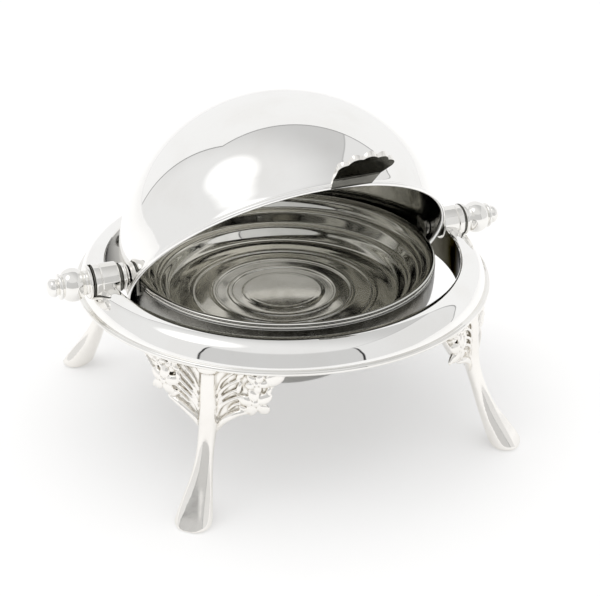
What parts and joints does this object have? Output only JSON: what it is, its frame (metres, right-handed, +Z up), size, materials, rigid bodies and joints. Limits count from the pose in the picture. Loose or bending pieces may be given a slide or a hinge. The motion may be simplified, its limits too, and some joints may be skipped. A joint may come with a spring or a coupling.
{
  "type": "chafing dish food warmer",
  "caption": "Round roll-top chafing dish: a ring frame on cast legs carries a dome lid that rolls under on side pivots, over a shallow food pan set in a deep water pan.",
  "frame": {"origin": "on the ground under the middle of the ring", "axes": "+X along the lid's hinge line to the viewer's right when facing the opening, -Y towards the front where the lid opens, +Z up"},
  "size_m": [0.298, 0.256, 0.2081],
  "materials": {
    "silver_plate": "mirror polished silver plate",
    "pan_steel": "polished stainless steel",
    "hardware_steel": "bright satin steel"
  },
  "bodies": {
    "frame": {"frame_ring": "silver_plate", "ring_bead": "silver_plate", "pivot_barrel_left": "silver_plate", "pivot_barrel_right": "silver_plate", "pivot_pin_left": "hardware_steel", "pivot_pin_right": "hardware_steel", "outer_washer_left": "hardware_steel", "outer_washer_right": "hardware_steel", "inner_washer_left": "hardware_steel", "inner_washer_right": "hardware_steel", "finial_left": "silver_plate", "finial_right": "silver_plate", "hanger_left": "hardware_steel", "hanger_right": "hardware_steel", "hoop_rivet_left": "hardware_steel", "hoop_rivet_right": "hardware_steel", "support_hoop": "hardware_steel", "leg_front_left": "silver_plate", "leg_front_right": "silver_plate", "leg_rear_left": "silver_plate", "leg_rear_right": "silver_plate", "leg_screw_front_left": "hardware_steel", "leg_screw_front_right": "hardware_steel", "leg_screw_rear_left": "hardware_steel", "leg_screw_rear_right": "hardware_steel"},
    "lid": {"lid_dome": "silver_plate", "lid_hub_left": "silver_plate", "lid_hub_right": "silver_plate", "lid_handle": "silver_plate", "handle_rivet_left": "hardware_steel", "handle_rivet_right": "hardware_steel"},
    "water_pan": {"water_pan": "pan_steel"},
    "food_pan": {"food_pan": "pan_steel"}
  },
  "joints": [
    {"name": "lid_roll", "type": "hinge", "parent": "frame", "child": "lid", "pos_m": [0, 0, 0.1085], "axis": [-1, 0, 0], "range_deg": [-45.5, 125]},
    {"name": "water_pan_lift", "type": "slide", "parent": "frame", "child": "water_pan", "axis": [0, 0, 1], "range_m": [0, 0.008]},
    {"name": "food_pan_lift", "type": "slide", "parent": "water_pan", "child": "food_pan", "axis": [0, 0, 1], "range_m": [0, 0.012]}
  ]
}
